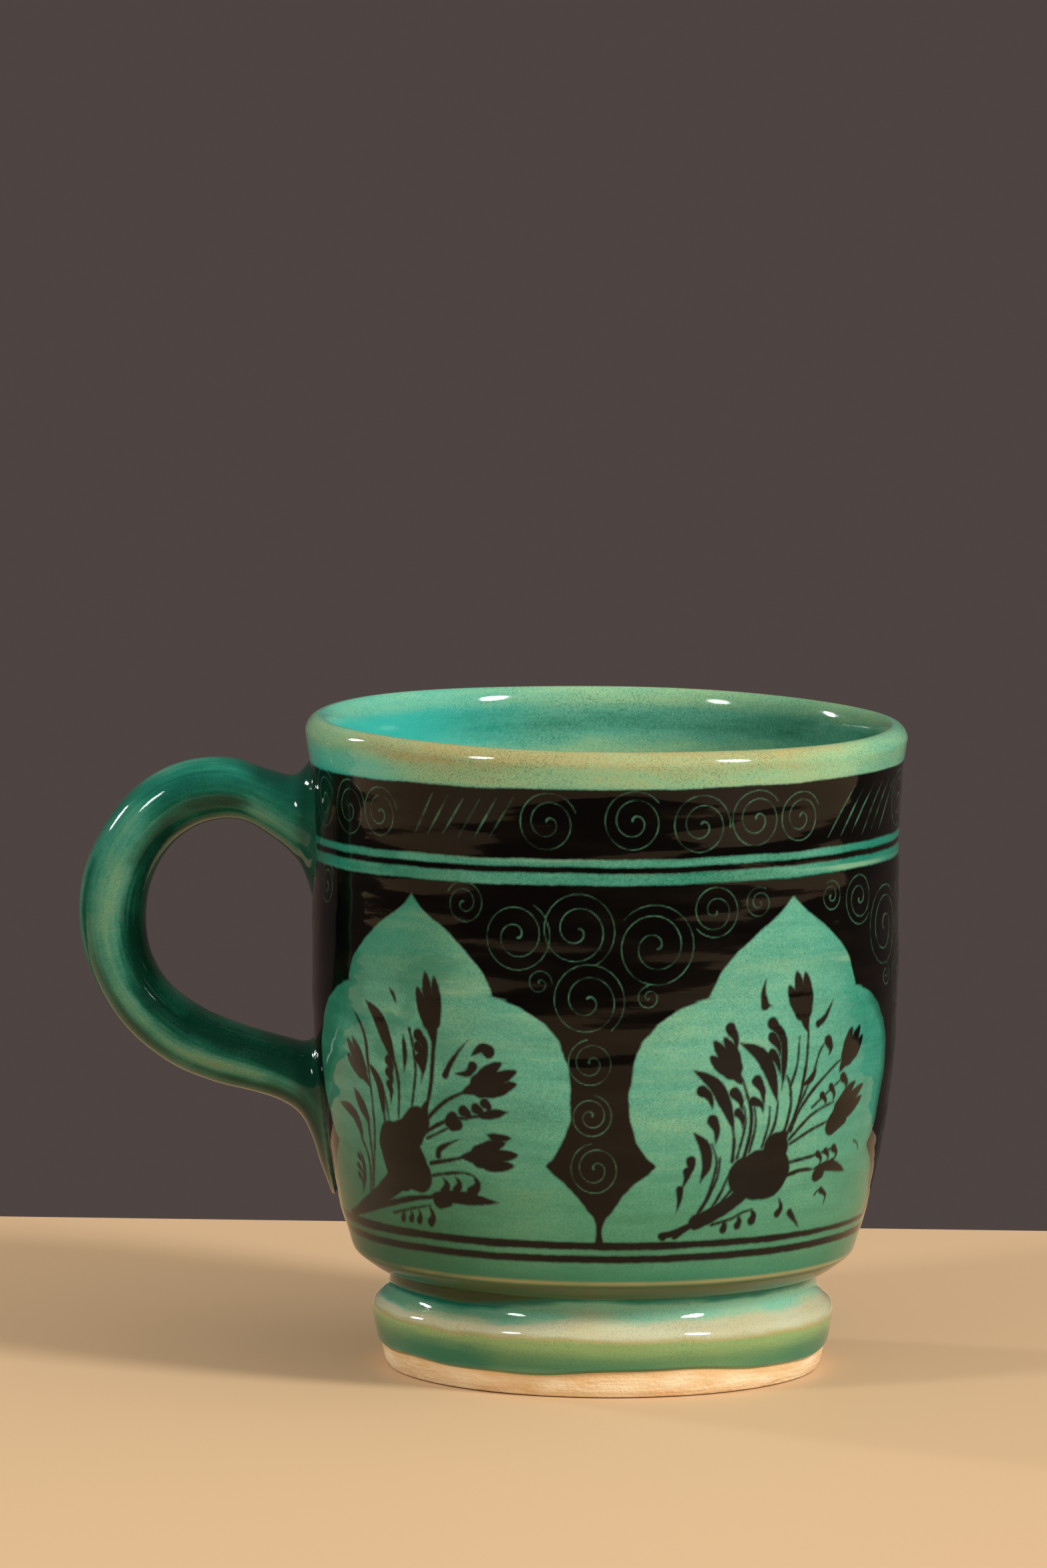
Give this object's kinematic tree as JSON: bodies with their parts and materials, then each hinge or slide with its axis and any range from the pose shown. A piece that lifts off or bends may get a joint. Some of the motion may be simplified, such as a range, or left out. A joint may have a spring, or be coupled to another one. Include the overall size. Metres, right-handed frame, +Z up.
{
  "type": "mug",
  "caption": "Footed pottery mug with a pulled handle, a black painted ground with arched windows and flower sprays, and a clear green glaze.",
  "frame": {"origin": "on the mug's axis, in the plane that the foot ring stands on", "axes": "+Z up along the axis of the cup, the handle points along -X"},
  "size_m": [0.1269, 0.0924, 0.1],
  "materials": {
    "clay": "unglazed fired pale clay, matt and slightly sandy",
    "black_slip": "black-brown painted slip under a glossy clear glaze",
    "green_glaze": "glossy clear green glaze, streaked and finely speckled, tan where it is thin",
    "deep_green_glaze": "glossy deep green glaze, pooled and streaked, tan on the edges"
  },
  "bodies": {
    "root": {"body": "clay", "foot": "clay", "handle": "clay", "slip_band": "black_slip", "slip_line": "black_slip", "slip_ground": "black_slip", "slip_ring": "black_slip", "glaze_outside": "green_glaze", "glaze_inside": "green_glaze", "glaze_handle": "deep_green_glaze", "glaze_foot": "deep_green_glaze"}
  },
  "joints": []
}
